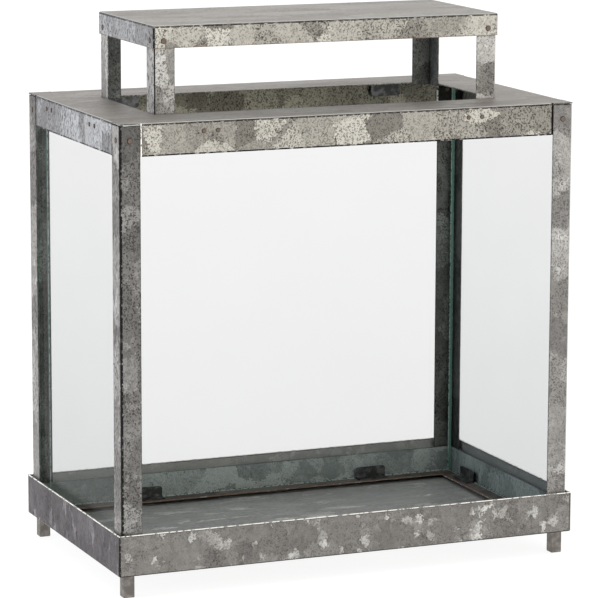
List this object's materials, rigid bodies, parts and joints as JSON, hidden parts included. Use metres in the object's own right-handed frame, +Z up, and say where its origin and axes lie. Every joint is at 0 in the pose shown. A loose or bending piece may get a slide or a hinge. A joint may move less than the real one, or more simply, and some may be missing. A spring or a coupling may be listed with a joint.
{
  "type": "candle lantern",
  "caption": "Rectangular lantern with a glazed sheet-steel house that lifts off a shallow footed tray, an open roof and a flat-topped bridge handle.",
  "frame": {"origin": "centre of the footprint, on the surface the feet stand on", "axes": "+Z up, +X to the right and -Y towards the viewer when the long side faces the viewer"},
  "size_m": [0.406, 0.234, 0.4565],
  "materials": {
    "galvanised_steel": "hot-dip galvanised sheet with a visible spangle, matt and weathered",
    "bar_steel": "galvanised square bar, dull grey-brown",
    "tinned_steel": "dull dark tinned strip",
    "rivet_steel": "flat rivet heads, slightly rusted",
    "clear_glass": "clear window glass with a faint green edge"
  },
  "bodies": {
    "tray_base": {"tray": "galvanised_steel", "foot_front_left": "bar_steel", "foot_front_right": "bar_steel", "foot_rear_left": "bar_steel", "foot_rear_right": "bar_steel"},
    "glass_house": {"roof": "galvanised_steel", "post_front_left": "galvanised_steel", "post_front_right": "galvanised_steel", "post_rear_left": "galvanised_steel", "post_rear_right": "galvanised_steel", "rail_front": "galvanised_steel", "rail_rear": "galvanised_steel", "rail_left": "galvanised_steel", "rail_right": "galvanised_steel", "glass_front": "clear_glass", "glass_rear": "clear_glass", "glass_left": "clear_glass", "glass_right": "clear_glass", "clips_bottom": "tinned_steel", "clips_top": "tinned_steel", "clip_rivets": "rivet_steel", "post_rivets": "rivet_steel", "handle_cover": "galvanised_steel", "leg_front_left": "galvanised_steel", "leg_front_right": "galvanised_steel", "leg_rear_left": "galvanised_steel", "leg_rear_right": "galvanised_steel", "handle_rivets": "rivet_steel"}
  },
  "joints": [
    {"name": "house_lift", "type": "slide", "parent": "tray_base", "child": "glass_house", "axis": [0, 0, 1], "range_m": [0, 0.05]}
  ]
}
